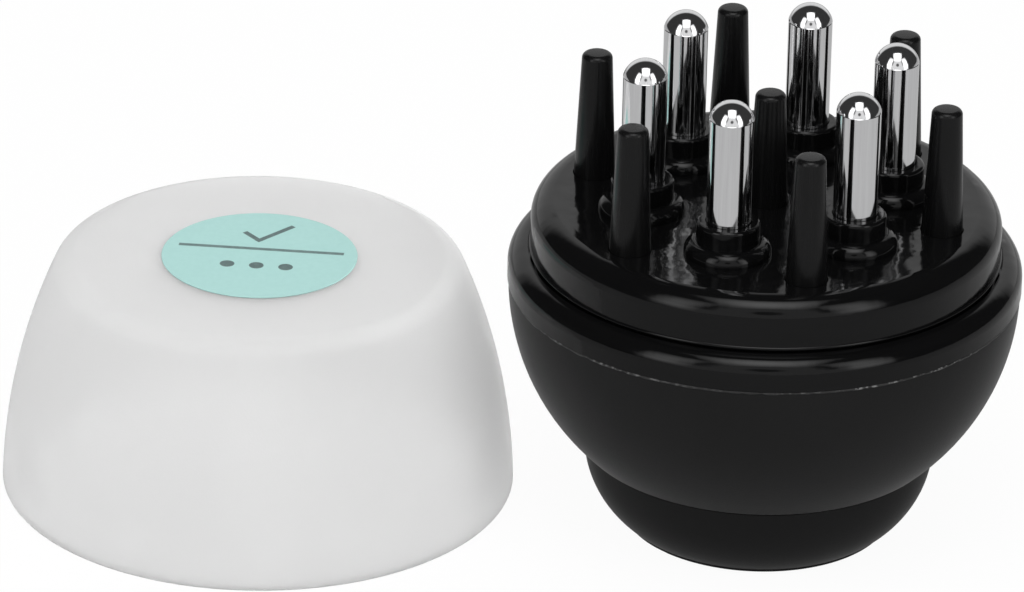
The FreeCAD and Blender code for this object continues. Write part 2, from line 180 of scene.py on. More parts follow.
class NodeSheet:
    """The node tree of one material or of the world."""

    def __init__(self, tree: bpy.types.NodeTree) -> None:
        """Takes over a tree and empties it."""
        self.tree = tree
        tree.nodes.clear()

    def node(
        self,
        kind: str,
        settings: Optional[dict[str, Any]] = None,
        inputs: Optional[Sockets] = None,
    ) -> bpy.types.Node:
        """Adds one node.

        Args:
            kind: The node's type, without its ShaderNode prefix.
            settings: What is set on the node first; "stops" sets a ramp's positions and greys.
            inputs: Values or wires, by the socket's name or number.

        Returns:
            The new node.
        """
        made = self.tree.nodes.new("ShaderNode" + kind)
        for name, value in (settings or {}).items():
            if name == "stops":
                self._set_stops(made.color_ramp, value)
            else:
                setattr(made, name, value)
        for name, value in (inputs or {}).items():
            if isinstance(value, Wire):
                self.tree.links.new(value.socket, made.inputs[name])
            else:
                made.inputs[name].default_value = value
        return made

    @staticmethod
    def _set_stops(ramp: bpy.types.ColorRamp, stops: Sequence[Point]) -> None:
        """Sets a ramp's stops.

        Args:
            ramp: The ramp, with its two first stops.
            stops: Positions and greys, from low to high.
        """
        while len(ramp.elements) < len(stops):
            ramp.elements.new(1.0)
        for element, (position, grey) in zip(ramp.elements, stops):
            element.position = position
            element.color = (grey, grey, grey, 1.0)

    def out(self, node: bpy.types.Node, name: Union[str, int] = 0) -> Wire:
        """The wire that leaves a node's output, by name or number."""
        return Wire(self, node.outputs[name])

    def sum_of(self, operation: str, *terms: Value) -> Wire:
        """One Math node on values or wires."""
        return self.out(self.node("Math", {"operation": operation}, dict(enumerate(terms))))

    def place(self, stretch: Stretch = Stretch.EVEN) -> Wire:
        """The surface point on the object, drawn out as asked."""
        point = self.out(self.node("TexCoord"), "Object")
        if stretch is Stretch.EVEN:
            return point
        return self.out(self.node("Mapping", None, {"Vector": point, "Scale": stretch.value}))

    def noise(self, scale: float, detail: float = 2.0, stretch: Stretch = Stretch.EVEN) -> Wire:
        """Soft noise between 0 and 1.

        Args:
            scale: Grains per metre.
            detail: How many finer layers it has.
            stretch: How the grain is drawn out.

        Returns:
            The noise's value.
        """
        inputs = {"Vector": self.place(stretch), "Scale": scale, "Detail": detail}
        return self.out(self.node("TexNoise", None, inputs), 0)

    def ramp(self, value: Wire, stops: Sequence[Point]) -> Wire:
        """A value led through a ramp of greys."""
        return self.out(self.node("ValToRGB", {"stops": stops}, {0: value}))

    def fade(self, value: Wire, span: Span) -> Wire:
        """One below a span of the value, zero above it, and falling over it."""
        return self.ramp(value, [(span[0], 1.0), (span[1], 0.0)])

    def between(self, share: Wire, ends: Span) -> Wire:
        """A number that moves from a low to a high end with a share."""
        low, high = ends
        return share * (high - low) + low

    def mixed(
        self, share: Wire, first: Union[Wire, Colour], second: Union[Wire, Colour]
    ) -> Wire:
        """Two colours mixed by a share.

        Args:
            share: 0 gives the first colour and 1 the second.
            first: A colour or its wire.
            second: A colour or its wire.

        Returns:
            The mixed colour.
        """
        ends = [c if isinstance(c, Wire) else (*c, 1.0) for c in (first, second)]
        settings = {"data_type": "RGBA", "clamp_factor": True}
        return self.out(self.node("Mix", settings, {0: share, 6: ends[0], 7: ends[1]}), 2)

    def bump(self, height: Wire, depth: float, under: Optional[Wire] = None) -> Wire:
        """A bumped normal.

        Args:
            height: The relief, from 0 to 1.
            depth: How deep a full step of the relief is.
            under: The normal of a relief below this one.

        Returns:
            The normal.
        """
        inputs: Sockets = {"Height": height, "Distance": depth, "Strength": 1.0}
        if under is not None:
            inputs["Normal"] = under
        return self.out(self.node("Bump", None, inputs))


@dataclass(frozen=True)
class Finish:
    """What every finish has: a name, and nodes that a material is made of once."""

    name: str = "finish"

    def surface(self, sheet: NodeSheet) -> Sockets:
        """The values and wires of the Principled shader's sockets."""
        raise NotImplementedError(self.name)

    def material(self) -> bpy.types.Material:
        """The finish's material, made at the first call."""
        known = bpy.data.materials.get(self.name)
        if known is not None:
            return known
        made = bpy.data.materials.new(self.name)
        made.use_nodes = True
        sheet = NodeSheet(made.node_tree)
        shader = sheet.node("BsdfPrincipled", None, self.surface(sheet))
        sheet.node("OutputMaterial", None, {"Surface": sheet.out(shader)})
        return made


@dataclass(frozen=True)
class SoftTouchBlack(Finish):
    """Soft matt paint over black plastic, finely grained and a little paler where it is rubbed."""

    name: str = "soft_touch_black"
    deep: Colour = (0.003, 0.003, 0.0031)
    rubbed: Colour = (0.0065, 0.0065, 0.0067)
    grain: float = 4200.0
    mottle: float = 90.0
    grain_depth: float = 0.012 * MM
    rough: Span = (0.5, 0.68)
    specular: float = 0.2
    sheen: float = 0.2
    sheen_rough: float = 0.28

    def surface(self, sheet: NodeSheet) -> Sockets:
        """Mottled black, with the paint's grain in the relief and the gloss."""
        cloud = sheet.noise(self.mottle, detail=3.0)
        grain = sheet.noise(self.grain)
        return {
            "Base Color": sheet.mixed(cloud, self.deep, self.rubbed),
            "Roughness": sheet.between((cloud + grain) / 2, self.rough),
            "Specular IOR Level": self.specular,
            "Sheen Weight": self.sheen,
            "Sheen Roughness": self.sheen_rough,
            "Normal": sheet.bump(grain, self.grain_depth),
        }


@dataclass(frozen=True)
class GlossBlack(Finish):
    """Moulded gloss black, whose surface is a little wavy, with faint wipe marks."""

    name: str = "gloss_black_moulding"
    deep: Colour = (0.0022, 0.0022, 0.0023)
    wiped: Colour = (0.0038, 0.0038, 0.004)
    wave: float = 210.0
    ripple: float = 620.0
    wave_depth: float = 0.055 * MM
    ripple_depth: float = 0.012 * MM
    wipe: float = 1500.0
    rough: Span = (0.06, 0.12)
    specular: float = 0.2

    def surface(self, sheet: NodeSheet) -> Sockets:
        """Near-mirror black over two sizes of moulding waves."""
        wave = sheet.noise(self.wave, detail=1.0)
        ripple = sheet.noise(self.ripple, detail=1.0)
        wipe = sheet.noise(self.wipe, detail=3.0, stretch=Stretch.LEVEL)
        under = sheet.bump(wave, self.wave_depth)
        return {
            "Base Color": sheet.mixed(wipe, self.deep, self.wiped),
            "Roughness": sheet.between(wipe, self.rough),
            "Specular IOR Level": self.specular,
            "Normal": sheet.bump(ripple, self.ripple_depth, under),
        }


@dataclass(frozen=True)
class WavyPlate(GlossBlack):
    """The same gloss on the head plate, whose flat top has small swirls that its rim lacks."""

    name: str = "gloss_black_plate"
    swirl: float = 400.0
    swirl_depth: float = 0.08 * MM
    flat_radius: float = 26.0 * MM
    rim_fade: Span = (0.42, 0.5)

    def surface(self, sheet: NodeSheet) -> Sockets:
        """The gloss, with swirls in the relief inside the rim."""
        made = super().surface(sheet)
        axes = sheet.node("SeparateXYZ", None, {0: sheet.place()})
        x, y = (sheet.out(axes, index) / self.flat_radius for index in range(2))
        inside = sheet.fade((x * x + y * y) / 2, self.rim_fade)
        swirl = sheet.noise(self.swirl, detail=1.5) * inside
        made["Normal"] = sheet.bump(swirl, self.swirl_depth, made["Normal"])
        return made


@dataclass(frozen=True)
class SatinBlack(Finish):
    """Satin black of the push-in teeth, with fine upright draw lines from the mould."""

    name: str = "satin_black_tooth"
    deep: Colour = (0.003, 0.003, 0.0031)
    drawn: Colour = (0.006, 0.006, 0.0062)
    line: float = 2600.0
    line_depth: float = 0.01 * MM
    rough: Span = (0.2, 0.32)
    specular: float = 0.2

    def surface(self, sheet: NodeSheet) -> Sockets:
        """Drawn lines in the shade, the gloss and the relief."""
        line = sheet.noise(self.line, stretch=Stretch.UPRIGHT)
        return {
            "Base Color": sheet.mixed(line, self.deep, self.drawn),
            "Roughness": sheet.between(line, self.rough),
            "Specular IOR Level": self.specular,
            "Normal": sheet.bump(line, self.line_depth),
        }


@dataclass(frozen=True)
class PolishedSteel(Finish):
    """Mirror-polished steel with faint upright polishing lines."""

    name: str = "polished_steel"
    pale: Colour = (0.84, 0.84, 0.85)
    grey: Colour = (0.68, 0.68, 0.69)
    line: float = 3800.0
    line_depth: float = 0.0015 * MM
    cloud: float = 500.0
    rough: Span = (0.05, 0.14)

    def surface(self, sheet: NodeSheet) -> Sockets:
        """Bright metal whose polish varies a little along its lines."""
        line = sheet.noise(self.line, stretch=Stretch.UPRIGHT)
        cloud = sheet.noise(self.cloud)
        return {
            "Base Color": sheet.mixed(line, self.pale, self.grey),
            "Metallic": 1.0,
            "Roughness": sheet.between(cloud * line, self.rough),
            "Normal": sheet.bump(line, self.line_depth),
        }


@dataclass(frozen=True)
class DrawnSteel(Finish):
    """Drawn wire and turned screw steel, duller than the pins."""

    name: str = "drawn_steel"
    pale: Colour = (0.52, 0.52, 0.53)
    grey: Colour = (0.36, 0.36, 0.37)
    line: float = 5200.0
    line_depth: float = 0.003 * MM
    rough: Span = (0.25, 0.42)

    def surface(self, sheet: NodeSheet) -> Sockets:
        """Satin metal with fine drawing marks."""
        mark = sheet.noise(self.line, detail=3.0, stretch=Stretch.LEVEL)
        return {
            "Base Color": sheet.mixed(mark, self.pale, self.grey),
            "Metallic": 1.0,
            "Roughness": sheet.between(mark, self.rough),
            "Normal": sheet.bump(mark, self.line_depth),
        }


@dataclass(frozen=True)
class SealRubber(Finish):
    """Matt moulded rubber of the gasket, seal and washers."""

    name: str = "seal_rubber"
    deep: Colour = (0.02, 0.02, 0.022)
    dusty: Colour = (0.045, 0.045, 0.047)
    bloom: float = 900.0
    grain: float = 3500.0
    grain_depth: float = 0.01 * MM
    rough: Span = (0.7, 0.9)

    def surface(self, sheet: NodeSheet) -> Sockets:
        """Dusty black with a fine bloom."""
        bloom = sheet.noise(self.bloom, detail=4.0)
        return {
            "Base Color": sheet.mixed(bloom, self.deep, self.dusty),
            "Roughness": sheet.between(bloom, self.rough),
            "Normal": sheet.bump(sheet.noise(self.grain), self.grain_depth),
        }


@dataclass(frozen=True)
class NaturalPlastic(Finish):
    """Uncoloured moulded plastic of the valve plate inside."""

    name: str = "natural_plastic"
    pale: Colour = (0.74, 0.73, 0.7)
    dull: Colour = (0.66, 0.65, 0.62)
    flow: float = 160.0
    grain: float = 2500.0
    grain_depth: float = 0.006 * MM
    rough: Span = (0.4, 0.55)

    def surface(self, sheet: NodeSheet) -> Sockets:
        """Milky plastic with flow marks."""
        flow = sheet.noise(self.flow, detail=3.0)
        return {
            "Base Color": sheet.mixed(flow, self.pale, self.dull),
            "Roughness": sheet.between(flow, self.rough),
            "Normal": sheet.bump(sheet.noise(self.grain), self.grain_depth),
        }


@dataclass(frozen=True)
class FrostedPlastic(Finish):
    """Frosted see-through plastic of the dust cap, cloudy with flow marks."""

    name: str = "frosted_plastic"
    clear: Colour = (0.795, 0.795, 0.795)
    milky: Colour = (0.73, 0.73, 0.73)
    cloud: float = 55.0
    frost: float = 3600.0
    frost_depth: float = 0.01 * MM
    rough: Span = (0.5, 0.66)
    bending: float = 1.1
    specular: float = 0.1
    see_through: float = 0.4
    glow_through: float = 0.6
    glow_reach: float = 4.0 * MM

    def surface(self, sheet: NodeSheet) -> Sockets:
        """Cloudy white that lets some light through its frosted skin."""
        cloud = sheet.noise(self.cloud, detail=3.0)
        frost = sheet.noise(self.frost)
        return {
            "Base Color": sheet.mixed(cloud, self.clear, self.milky),
            "Roughness": sheet.between(frost, self.rough),
            "IOR": self.bending,
            "Specular IOR Level": self.specular,
            "Transmission Weight": self.see_through,
            "Subsurface Weight": self.glow_through,
            "Subsurface Radius": (1.0, 1.0, 1.0),
            "Subsurface Scale": self.glow_reach,
            "Normal": sheet.bump(frost, self.frost_depth),
        }


@dataclass(frozen=True)
class PrintedLabel(Finish):
    """Pale green-blue label paper with a plain printed rule, tick and dots, in label radii."""

    name: str = "printed_label"
    paper: Colour = (0.37, 0.61, 0.58)
    shade: Colour = (0.335, 0.565, 0.54)
    ink: Colour = (0.055, 0.085, 0.085)
    centre: tuple[float, float, float] = (0.0, 0.0, 0.0)
    radius: float = 12.5 * MM
    turn: float = math.radians(-5.5)
    rule: tuple[Point, ...] = ((-0.82, 0.14), (0.82, 0.14))
    rule_ink: float = 0.9
    tick: tuple[Point, ...] = ((-0.2, 0.5), (-0.05, 0.34), (0.24, 0.7))
    dots: tuple[Point, ...] = ((-0.3, -0.25), (0.0, -0.25), (0.3, -0.25))
    stroke_share: float = 0.03
    dot_share: float = 0.075
    ink_cover: Span = (0.8, 1.0)
    fibre: float = 1400.0
    fibre_depth: float = 0.006 * MM
    rough: Span = (0.42, 0.58)

    def stroke(self, x: Wire, y: Wire, start: Point, end: Point) -> Wire:
        """The mask of one straight ink stroke.

        Args:
            x: Place across the label, in label radii.
            y: Place up the label, in label radii.
            start: Where the stroke starts.
            end: Where it ends.

        Returns:
            One on the stroke and zero off it.
        """
        length = math.dist(start, end)
        way_x = (end[0] - start[0]) / length
        way_y = (end[1] - start[1]) / length
        along = (x - start[0]) * way_x + (y - start[1]) * way_y
        aside = (y - start[1]) * way_x - (x - start[0]) * way_y
        reach = abs(along - length / 2) < length / 2 + self.stroke_share
        return reach * (abs(aside) < self.stroke_share)

    def surface(self, sheet: NodeSheet) -> Sockets:
        """Paper fibres under the printed marks, which lie level on the label."""
        inputs = {
            "Vector": sheet.place(),
            "Location": self.centre,
            "Rotation": (0.0, 0.0, self.turn),
            "Scale": (self.radius, self.radius, self.radius),
        }
        local = sheet.out(sheet.node("Mapping", {"vector_type": "TEXTURE"}, inputs))
        axes = sheet.node("SeparateXYZ", None, {0: local})
        x = sheet.out(axes, 0)
        y = sheet.out(axes, 1)
        marks = self.stroke(x, y, *self.rule) * self.rule_ink
        for start, end in zip(self.tick, self.tick[1:]):
            marks = marks | self.stroke(x, y, start, end)
        for dot_x, dot_y in self.dots:
            off = (x - dot_x) ** 2.0 + (y - dot_y) ** 2.0
            marks = marks | (off < self.dot_share**2)
        fibre = sheet.noise(self.fibre, detail=4.0)
        paper = sheet.mixed(fibre, self.paper, self.shade)
        cover = sheet.between(fibre, self.ink_cover)
        return {
            "Base Color": sheet.mixed(marks * cover, paper, self.ink),
            "Roughness": sheet.between(fibre, self.rough),
            "Normal": sheet.bump(fibre, self.fibre_depth),
        }


@dataclass(frozen=True)
class SeamFlashGlints(Finish):
    """Finish of the broken flash bead along the seam under the collar: dark, with pale specks that
    are painted glints.
    """

    name: str = "seam_flash_painted_glints"
    dark: Colour = (0.008, 0.008, 0.008)
    pale: Colour = (0.2, 0.2, 0.2)
    glint_speck: float = 1700.0
    glint_speck_stops: tuple[Point, ...] = ((0.5, 0.0), (0.62, 1.0))
    glint_patch: float = 75.0
    glint_patch_stops: tuple[Point, ...] = ((0.35, 0.12), (0.65, 1.0))
    rough: Span = (0.45, 0.7)

    def surface(self, sheet: NodeSheet) -> Sockets:
        """Pale specks, painted glints, that come and go round the seam."""
        glint_speck = sheet.ramp(sheet.noise(self.glint_speck, detail=3.0), self.glint_speck_stops)
        glint_patch = sheet.ramp(sheet.noise(self.glint_patch, detail=1.0), self.glint_patch_stops)
        return {
            # Painted glints: pale specks on the dark bead stand in for light caught along the
            # seam's edge.
            "Base Color": sheet.mixed(glint_speck * glint_patch, self.dark, self.pale),
            "Roughness": sheet.between(glint_speck, self.rough),
        }


@dataclass
class Outline:
    """Half a section of a turned piece, as points of radius and height."""

    points: list[Point] = field(default_factory=list)

    def to(self, radius: float, height: float) -> "Outline":
        """Adds a straight run to a point."""
        self.points.append((radius, height))
        return self

    def arc(self, centre: Point, radius: float, start: float, end: float, steps: int) -> "Outline":
        """Adds a round run.

        Args:
            centre: The arc's centre, as radius and height.
            radius: The arc's radius.
            start: Where it starts, in radians from straight out, upwards.
            end: Where it ends.
            steps: How many short runs it has.

        Returns:
            This outline.
        """
        for step in range(steps + 1):
            angle = start + (end - start) * step / steps
            self.to(centre[0] + radius * math.cos(angle), centre[1] + radius * math.sin(angle))
        return self


class Bench:
    """Modelling moves that the pieces share."""

    @staticmethod
    def clear() -> None:
        """Leaves nothing selected."""
        if bpy.context.object and bpy.context.object.mode != "OBJECT":
            bpy.ops.object.mode_set(mode="OBJECT")
        bpy.ops.object.select_all(action="DESELECT")

    @staticmethod
    def turned(name: str, outline: Outline, centre: Point, steps: int) -> bpy.types.Object:
        """Spins an outline round an upright axis.

        Args:
            name: The piece's name.
            outline: Its half section, in order.
            centre: Where the axis stands.
            steps: How many sides the turned piece has.

        Returns:
            The closed piece, with its place in its mesh.
        """
        Bench.clear()
        bpy.ops.mesh.primitive_plane_add(size=MM)
        piece = bpy.context.object
        piece.name = name
        piece.data.name = name
        bpy.ops.object.mode_set(mode="EDIT")
        bpy.ops.mesh.merge(type="CENTER")
        x, y = centre
        places = [Vector((x + radius, y, height)) for radius, height in outline.points]
        bpy.ops.transform.translate(value=places[0])
        for here, there in zip(places, places[1:]):
            bpy.ops.mesh.extrude_vertices_move(TRANSFORM_OT_translate={"value": there - here})
        bpy.ops.mesh.select_all(action="SELECT")
        bpy.ops.mesh.spin(steps=steps, angle=FULL_TURN, center=(x, y, 0.0), axis=(0.0, 0.0, 1.0))
        Bench.close_up()
        return piece

    @staticmethod
    def close_up() -> None:
        """Merges doubled points of the piece in hand, turns its faces out and leaves edit mode."""
        bpy.ops.mesh.select_all(action="SELECT")
        bpy.ops.mesh.remove_doubles(threshold=SAME_PLACE)
        bpy.ops.mesh.normals_make_consistent(inside=False)
        bpy.ops.object.mode_set(mode="OBJECT")

    @staticmethod
    def softened(piece: bpy.types.Object, width: float, angle: float) -> None:
        """Rounds a piece's sharp edges and shades it smooth.

        Args:
            piece: The piece, which is the one in hand.
            width: How wide the rounding is, or zero for none.
            angle: Edges sharper than this angle, in degrees, are rounded.
        """
        Bench.clear()
        piece.select_set(True)
        bpy.context.view_layer.objects.active = piece
        if width:
            bpy.ops.object.modifier_add(type="BEVEL")
            bevel = piece.modifiers[-1]
            bevel.width = width
            bevel.segments = EDGE_SEGMENTS
            bevel.limit_method = "ANGLE"
            bevel.angle_limit = math.radians(angle)
            bpy.ops.object.modifier_apply(modifier=bevel.name)
        bpy.ops.object.shade_smooth_by_angle(angle=math.radians(angle))

    @staticmethod
    def copied(piece: bpy.types.Object, name: str, shift: Vector) -> bpy.types.Object:
        """Copies a piece with its own mesh.

        Args:
            piece: What is copied.
            name: The copy's name.
            shift: How far the copy's mesh is moved.

        Returns:
            The copy.
        """
        copy = piece.copy()
        copy.data = piece.data.copy()
        copy.name = name
        copy.data.name = name
        copy.data.transform(Matrix.Translation(shift))
        bpy.context.scene.collection.objects.link(copy)
        return copy


class SubAssembly:
    """What the sub-assemblies share: they read the frame, carry pieces and report them."""

    def build(self) -> None:
        """Models the pieces that are new here."""

    def dress(self) -> None:
        """Gives every piece its finish."""

    @staticmethod
    def body_of(node: str) -> str:
        """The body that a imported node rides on."""
        return frame["nodes"][node]["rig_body"]

    @staticmethod
    def slot_of(node: str) -> str:
        """The record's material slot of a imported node."""
        rows = frame["record"]["subparts"]
        return next(row["material_slot"] for row in rows if row["node"] == node)

    @staticmethod
    def axis_of(node: str) -> Vector:
        """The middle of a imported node's underside."""
        low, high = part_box(node)
        return Vector(((low.x + high.x) / 2, (low.y + high.y) / 2, low.z))

    @staticmethod
    def numbered(stem: str) -> list[str]:
        """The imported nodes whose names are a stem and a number, in order."""
        return sorted(name for name in frame["nodes"] if name.startswith(stem + "_"))

    def stand_for(self, piece: bpy.types.Object, node: str) -> None:
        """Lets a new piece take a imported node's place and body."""
        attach(piece, self.body_of(node))
        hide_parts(node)
        LOG.info("%s stands for %s on %s", piece.name, node, self.body_of(node))

    def paint(self, piece: bpy.types.Object, finish: Finish) -> None:
        """Puts one finish on all of a piece."""
        piece.data.materials.clear()
        piece.data.materials.append(finish.material())
        LOG.info("%s is finished in %s", piece.name, finish.name)

    def paint_nodes(self, finish: Finish, *nodes: str) -> None:
        """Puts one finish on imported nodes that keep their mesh."""
        for node in nodes:
            self.paint(frame["nodes"][node], finish)


@dataclass
class Reservoir(SubAssembly):
    """The grip: bowl, screw-on base cup, their seal, and the valve plate inside."""

    grip: SoftTouchBlack = SoftTouchBlack()
    # Painted shade: a darker copy of the grip's soft-touch black, standing in for the base cup's
    # shade near the table.
    foot: SoftTouchBlack = SoftTouchBlack(
        "soft_touch_foot_painted_shade", (0.002, 0.002, 0.0021), (0.0045, 0.0045, 0.0047)
    )
    rubber: SealRubber = SealRubber()
    inner: NaturalPlastic = NaturalPlastic()
    steel: DrawnSteel = DrawnSteel()

    def dress(self) -> None:
        """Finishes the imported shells, whose shape is right as it is."""
        self.paint_nodes(self.grip, "bowl")
        # Painted shade: the base cup gets the darker copy of the grip's finish.
        self.paint_nodes(self.foot, "base_cup")
        self.paint_nodes(self.rubber, "base_seal")
        self.paint_nodes(self.inner, "valve_plate")
        self.paint_nodes(self.steel, "valve_screws")


@dataclass
class Head(SubAssembly):
    """The gloss head: plate, clamp collar, gasket, and the flash line at the collar's foot."""

    gloss: GlossBlack = GlossBlack()
    plate: WavyPlate = WavyPlate()
    rubber: SealRubber = SealRubber()
    flash_glint_finish: SeamFlashGlints = SeamFlashGlints()
    flash_inset: float = 0.3 * MM
    flash_radius: float = 0.2 * MM
    flash_rough: float = 0.22 * MM
    flash_grain: float = 0.9 * MM
    flash_steps: int = 720
    flash_sides: int = 8
    flash_crease: float = 60.0
    flash: Optional[bpy.types.Object] = None

    def build(self) -> None:
        """Models the uneven flash line in the groove between collar and bowl."""
        low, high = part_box("collar_ring")
        Bench.clear()
        bpy.ops.mesh.primitive_torus_add(
            location=(0.0, 0.0, 0.0),
            major_segments=self.flash_steps,
            minor_segments=self.flash_sides,
            major_radius=high.x - self.flash_inset,
            minor_radius=self.flash_radius,
        )
        self.flash = bpy.context.object
        self.flash.name = "seam_flash_line"
        bpy.ops.object.mode_set(mode="EDIT")
        bpy.ops.transform.translate(value=(0.0, 0.0, low.z))
        Bench.close_up()
        bumps = bpy.data.textures.new("flash_bumps", "CLOUDS")
        bumps.noise_scale = self.flash_grain
        bpy.ops.object.modifier_add(type="DISPLACE")
        rough = self.flash.modifiers[-1]
        rough.texture = bumps
        rough.texture_coords = "LOCAL"
        rough.strength = self.flash_rough
        bpy.ops.object.modifier_apply(modifier=rough.name)
        Bench.softened(self.flash, 0.0, self.flash_crease)
        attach(self.flash, self.body_of("collar_ring"))
        self.slot_of("bowl")
        LOG.info("%s lies at the foot of collar_ring", self.flash.name)

    def dress(self) -> None:
        """Finishes the plate, the collar, the gasket and the flash line."""
        self.paint_nodes(self.plate, "head_plate")
        self.paint_nodes(self.gloss, "collar_ring")
        self.paint_nodes(self.rubber, "head_gasket")
        self.paint(self.flash, self.flash_glint_finish)


@dataclass
class CombTeeth(SubAssembly):
    """The seven push-in teeth, each tapered above its seat, with a neck and a barb below."""

    finish: SatinBlack = SatinBlack()
    base_radius: float = 2.65 * MM
    tip_radius: float = 1.95 * MM
    tip_round: float = 0.7 * MM
    seat_height: float = 3.3 * MM
    barb_lead: float = 0.9 * MM
    barb_land: float = 0.5 * MM
    barb_radius: float = 2.4 * MM
    barb_tip_radius: float = 1.5 * MM
    neck_radius: float = 1.7 * MM
    edge: float = 0.08 * MM
    crease: float = 32.0
    steps: int = 72
    tip_steps: int = 8
    teeth: list[bpy.types.Object] = field(default_factory=list)

    def outline(self, height: float) -> Outline:
        """The half section of a tooth that stands on zero height.

        Args:
            height: From the barb's end to the tip.

        Returns:
            The outline, from the barb's end round to the middle of the tip.
        """
        land = self.barb_lead + self.barb_land
        crown = self.tip_radius - self.tip_round
        side = Outline().to(0.0, 0.0).to(self.barb_tip_radius, 0.0)
        side.to(self.barb_radius, self.barb_lead).to(self.barb_radius, land)
        side.to(self.neck_radius, land).to(self.neck_radius, self.seat_height)
        side.to(self.base_radius, self.seat_height)
        tip = (crown, height - self.tip_round)
        side.arc(tip, self.tip_round, 0.0, QUARTER_TURN, self.tip_steps)
        return side.to(0.0, height)

    def build_alike(self, *nodes: str) -> None:
        """Models one tooth and copies it to the seats of teeth of its height."""
        low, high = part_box(nodes[0])
        outline = self.outline(high.z - low.z)
        first = Bench.turned("tooth_pattern", outline, (0.0, 0.0), self.steps)
        Bench.softened(first, self.edge, self.crease)
        for node in nodes:
            tooth = Bench.copied(first, node + "_drawn", self.axis_of(node))
            self.stand_for(tooth, node)
            self.teeth.append(tooth)
        bpy.data.objects.remove(first)

    def build(self) -> None:
        """Models the six teeth round the pins and the shorter one in the middle."""
        self.build_alike(*self.numbered("comb_tooth"))
        self.build_alike("centre_tooth")

    def dress(self) -> None:
        """Finishes all teeth in satin black."""
        for tooth in self.teeth:
            self.paint(tooth, self.finish)


@dataclass
class SprungPins(SubAssembly):
    """The six polished pins, with their washers and return springs."""

    finish: PolishedSteel = PolishedSteel()
    wire_finish: DrawnSteel = DrawnSteel()
    rubber: SealRubber = SealRubber()
    shaft_radius: float = 2.8 * MM
    dome_height: float = 2.2 * MM
    line_depth: float = 0.05 * MM
    line_height: float = 0.12 * MM
    stem_radius: float = 1.4 * MM
    stem_length: float = 5.0 * MM
    flange_thickness: float = 1.2 * MM
    pin_steps: int = 96
    dome_steps: int = 18
    pin_crease: float = 10.0
    wire_radius: float = 0.25 * MM
    wire_sides: int = 14
    spring_turns: int = 4
    turn_steps: int = 40
    wire_crease: float = 60.0
    pins: list[bpy.types.Object] = field(default_factory=list)
    springs: list[bpy.types.Object] = field(default_factory=list)

    def pin_outline(self, height: float, flange_radius: float) -> Outline:
        """The half section of a pin that stands on zero height.

        Args:
            height: From the stem's end to the top of the dome.
            flange_radius: The radius of the valve flange.

        Returns:
            The outline, from the stem's end up to the dome.
        """
        flange_top = self.stem_length + self.flange_thickness
        dome_foot = height - self.dome_height
        ball = (self.shaft_radius**2 + self.dome_height**2) / (2 * self.dome_height)
        side = Outline().to(0.0, 0.0).to(self.stem_radius, 0.0)
        side.to(self.stem_radius, self.stem_length)
        side.to(flange_radius, self.stem_length).to(flange_radius, flange_top)
        side.to(self.shaft_radius, flange_top).to(self.shaft_radius, dome_foot - self.line_height)
        side.to(self.shaft_radius - self.line_depth, dome_foot - self.line_height / 2)
        start = math.asin((ball - self.dome_height) / ball)
        return side.arc((0.0, height - ball), ball, start, QUARTER_TURN, self.dome_steps)

    def build_pins(self) -> None:
        """Models one pin and copies it to its six places."""
        nodes = self.numbered("metal_pin")
        low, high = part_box(nodes[0])
        outline = self.pin_outline(high.z - low.z, (high.x - low.x) / 2)
        first = Bench.turned("pin_pattern", outline, (0.0, 0.0), self.pin_steps)
        Bench.softened(first, 0.0, self.pin_crease)
        for node in nodes:
            pin = Bench.copied(first, node + "_polished", self.axis_of(node))
            self.stand_for(pin, node)
            self.pins.append(pin)
        bpy.data.objects.remove(first)

    def build_springs(self) -> None:
        """Winds one spring and copies it under each pin."""
        nodes = self.numbered("pin_spring")
        low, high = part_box(nodes[0])
        height = high.z - low.z
        Bench.clear()
        bpy.ops.mesh.primitive_circle_add(vertices=self.wire_sides, radius=self.wire_radius)
        first = bpy.context.object
        bpy.ops.object.mode_set(mode="EDIT")
        bpy.ops.transform.rotate(
            value=QUARTER_TURN, orient_axis="X", center_override=(0.0, 0.0, 0.0)
        )
        coil_radius = (high.x - low.x) / 2 - self.wire_radius
        bpy.ops.transform.translate(value=(coil_radius, 0.0, self.wire_radius))
        bpy.ops.object.mode_set(mode="OBJECT")
        bpy.ops.object.modifier_add(type="SCREW")
        coil = first.modifiers[-1]
        coil.iterations = self.spring_turns
        coil.screw_offset = (height - 2 * self.wire_radius) / self.spring_turns
        coil.steps = self.turn_steps
        coil.render_steps = self.turn_steps
        bpy.ops.object.modifier_apply(modifier=coil.name)
        bpy.ops.object.mode_set(mode="EDIT")
        bpy.ops.mesh.select_all(action="SELECT")
        bpy.ops.mesh.fill_holes(sides=self.wire_sides)
        Bench.close_up()
        Bench.softened(first, 0.0, self.wire_crease)
        for node in nodes:
            place = self.axis_of(node)
            spring = Bench.copied(first, node + "_wound", place)
            self.stand_for(spring, node)
            press = node.replace("spring", "press")
            joint = next(row for row in frame["joints"] if row["name"] == press)
            keep = 1 - joint["range_m"][1] / height
            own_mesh(spring)
            self.springs.append(spring)
        bpy.data.objects.remove(first)

    def build(self) -> None:
        """Models the pins and their springs."""
        self.build_pins()
        self.build_springs()

    def dress(self) -> None:
        """Polishes the pins and finishes springs and washers."""
        for pin in self.pins:
            self.paint(pin, self.finish)
        for spring in self.springs:
            self.paint(spring, self.wire_finish)
        self.paint_nodes(self.rubber, *self.numbered("pin_seal"))


